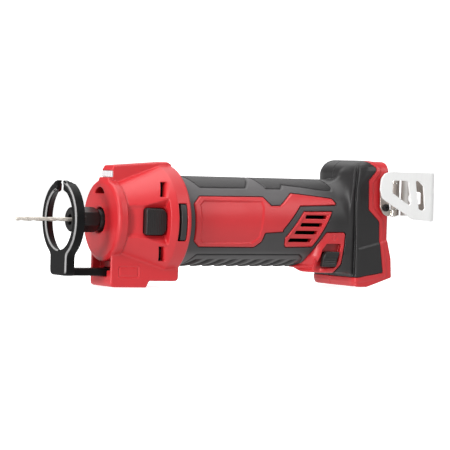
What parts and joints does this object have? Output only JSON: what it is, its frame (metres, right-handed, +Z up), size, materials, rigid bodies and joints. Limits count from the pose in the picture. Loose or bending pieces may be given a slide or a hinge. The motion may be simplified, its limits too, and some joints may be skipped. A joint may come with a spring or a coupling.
{
  "type": "drywall cut out tool",
  "caption": "Battery powered rotary drywall cutter with a round rubber covered grip, spiral bit in a collet, sliding depth guide ring, spindle lock, slide switch and hinged hook.",
  "frame": {"origin": "middle of the flat under the nose block, where the tool rests", "axes": "X along the spindle from the bit towards the pack dock, Z up, -Y the side with the switch, lock button and hook"},
  "size_m": [0.3442, 0.0963, 0.1025],
  "materials": {
    "red_shell": "satin moulded red plastic",
    "rubber": "dark grey moulded rubber",
    "black_plastic": "black moulded plastic",
    "black_steel": "blackened steel",
    "bright_steel": "bright ground steel",
    "sheet_steel": "brushed stainless sheet",
    "dark_steel": "dark steel",
    "clear_lens": "clear fluted plastic lens",
    "board": "green circuit board",
    "copper": "copper",
    "brass": "brass",
    "carbon": "carbon",
    "magnet": "ferrite",
    "lead": "insulated wire"
  },
  "bodies": {
    "housing": {"nose_housing": "red_shell", "air_baffle": "black_plastic", "led_lens": "clear_lens", "led_board": "board", "housing_left": "red_shell", "housing_right": "red_shell", "grip_left": "rubber", "grip_right": "rubber", "housing_screws": "black_steel", "guide_pad": "black_plastic", "guide_spring": "bright_steel", "lock_spring": "bright_steel", "hook_bracket": "sheet_steel", "hook_screws": "dark_steel", "hook_pin": "bright_steel", "front_bearing_outer": "bright_steel", "front_bearing_balls": "bright_steel", "rear_bearing_outer": "bright_steel", "rear_bearing_balls": "bright_steel", "bearing_plate": "dark_steel", "motor_can": "dark_steel", "motor_magnets": "magnet", "motor_end_cap": "black_plastic", "brush_holders": "brass", "carbon_brushes": "carbon", "brush_springs": "bright_steel", "switch_body": "black_plastic", "control_board": "board", "board_parts": "black_plastic", "terminal_block": "black_plastic", "terminal_blades": "brass", "power_leads": "lead"},
    "spindle": {"cutting_bit": "bright_steel", "collet": "bright_steel", "collet_nut": "black_steel", "armature_shaft": "bright_steel", "lock_collar": "dark_steel", "cooling_fan": "black_plastic", "armature_core": "dark_steel", "armature_windings": "copper", "commutator": "copper", "front_bearing_inner": "bright_steel", "rear_bearing_inner": "bright_steel"},
    "lock": {"lock_button": "black_plastic", "lock_plunger": "bright_steel"},
    "switch": {"switch_slider": "black_plastic", "switch_link": "bright_steel"},
    "guide": {"depth_guide": "black_plastic"},
    "hook": {"hang_hook": "sheet_steel"}
  },
  "joints": [
    {"name": "spindle_spin", "type": "hinge", "parent": "housing", "child": "spindle", "pos_m": [0, 0, 0.0505], "axis": [1, 0, 0], "continuous": true},
    {"name": "lock_press", "type": "slide", "parent": "housing", "child": "lock", "axis": [0, 1, 0], "range_m": [0, 0.004], "stiffness_N_per_m": 300, "springref_m": -0.003, "deforming": ["lock_spring"]},
    {"name": "switch_slide", "type": "slide", "parent": "housing", "child": "switch", "axis": [0.2425, 0, 0.9701], "range_m": [0, 0.005]},
    {"name": "guide_slide", "type": "slide", "parent": "housing", "child": "guide", "axis": [1, 0, 0], "range_m": [-0.01, 0.013]},
    {"name": "hook_swing", "type": "hinge", "parent": "housing", "child": "hook", "pos_m": [0.2262, -0.0403, 0.0735], "axis": [0, 0, 1], "range_deg": [-30, 90]}
  ]
}
